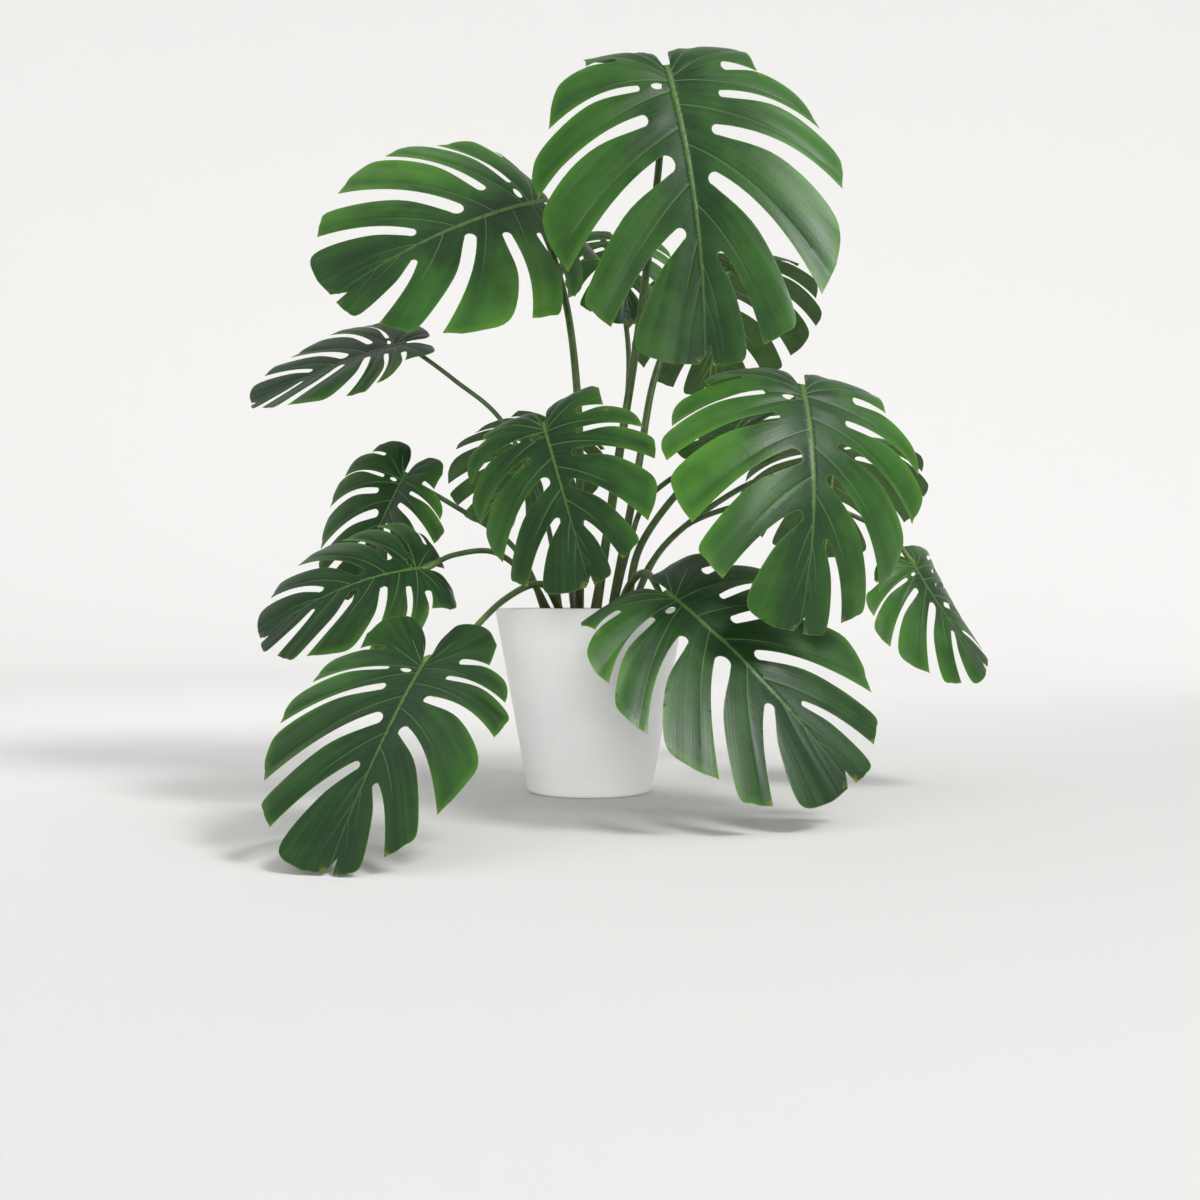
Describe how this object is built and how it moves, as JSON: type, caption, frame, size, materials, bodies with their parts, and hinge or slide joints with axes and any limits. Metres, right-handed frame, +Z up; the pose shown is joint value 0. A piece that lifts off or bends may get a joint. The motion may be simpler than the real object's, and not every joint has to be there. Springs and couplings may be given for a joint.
{
  "type": "potted monstera plant",
  "caption": "Swiss cheese plant with split, drooping leaves on long stalks, standing in a plain tapered white pot.",
  "frame": {"origin": "middle of the pot's flat underside, on the surface it stands on", "axes": "+Z up along the pot's axis, +X to the right when the plant's fuller side, with the largest leaf's face, looks at the viewer from -Y"},
  "size_m": [1.02, 1.0314, 0.99],
  "materials": {
    "pot_glaze": "satin",
    "potting_soil": "matte",
    "leaf_blade": "satin",
    "leaf_petiole": "satin"
  },
  "bodies": {
    "root": {"pot": "pot_glaze", "potting_soil": "potting_soil", "leaf_01_blade": "leaf_blade", "leaf_01_petiole": "leaf_petiole", "leaf_02_blade": "leaf_blade", "leaf_02_petiole": "leaf_petiole", "leaf_03_blade": "leaf_blade", "leaf_03_petiole": "leaf_petiole", "leaf_04_blade": "leaf_blade", "leaf_04_petiole": "leaf_petiole", "leaf_05_blade": "leaf_blade", "leaf_05_petiole": "leaf_petiole", "leaf_06_blade": "leaf_blade", "leaf_06_petiole": "leaf_petiole", "leaf_07_blade": "leaf_blade", "leaf_07_petiole": "leaf_petiole", "leaf_08_blade": "leaf_blade", "leaf_08_petiole": "leaf_petiole", "leaf_09_blade": "leaf_blade", "leaf_09_petiole": "leaf_petiole", "leaf_10_blade": "leaf_blade", "leaf_10_petiole": "leaf_petiole", "leaf_11_blade": "leaf_blade", "leaf_11_petiole": "leaf_petiole", "leaf_12_blade": "leaf_blade", "leaf_12_petiole": "leaf_petiole", "leaf_13_blade": "leaf_blade", "leaf_13_petiole": "leaf_petiole", "leaf_14_blade": "leaf_blade", "leaf_14_petiole": "leaf_petiole", "leaf_15_blade": "leaf_blade", "leaf_15_petiole": "leaf_petiole"}
  },
  "joints": []
}
